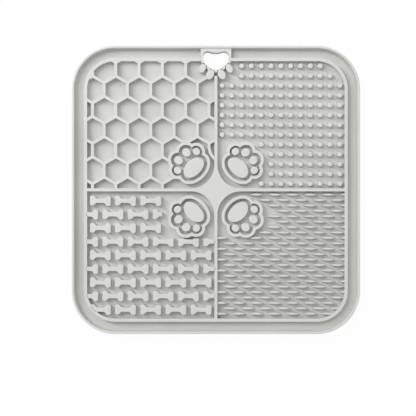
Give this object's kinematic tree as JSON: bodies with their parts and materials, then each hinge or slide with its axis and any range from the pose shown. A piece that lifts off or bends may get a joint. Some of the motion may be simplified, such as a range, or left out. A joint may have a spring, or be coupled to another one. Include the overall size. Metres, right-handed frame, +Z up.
{
  "type": "lick mat",
  "caption": "Square silicone lick mat with a raised rim, quarters of honeycomb, studs, bones and almond ridges, paw prints at the centre, a hanging hole and suction cups below.",
  "frame": {"origin": "centre of the mat on the surface that its suction cups stand on", "axes": "+Z up out of the licking side, +Y towards the edge with the hanging hole, +X to the right seen from above"},
  "size_m": [0.2, 0.2, 0.011],
  "materials": {
    "silicone": "matte moulded silicone"
  },
  "bodies": {
    "root": {"base_sheet": "silicone", "bone_blocks": "silicone", "centre_star": "silicone", "divider_bottom": "silicone", "divider_left": "silicone", "divider_right": "silicone", "divider_top": "silicone", "hanger_collar": "silicone", "hanger_toes": "silicone", "honeycomb_falling_walls": "silicone", "honeycomb_rising_walls": "silicone", "honeycomb_upright_walls": "silicone", "inner_border": "silicone", "licking_studs": "silicone", "outer_rim": "silicone", "paw_pad_lower_left": "silicone", "paw_pad_lower_right": "silicone", "paw_pad_upper_left": "silicone", "paw_pad_upper_right": "silicone", "paw_ring_lower_left": "silicone", "paw_ring_lower_right": "silicone", "paw_ring_upper_left": "silicone", "paw_ring_upper_right": "silicone", "paw_toes_lower_left": "silicone", "paw_toes_lower_right": "silicone", "paw_toes_upper_left": "silicone", "paw_toes_upper_right": "silicone", "ripple_ridges": "silicone", "suction_cups": "silicone"}
  },
  "joints": []
}
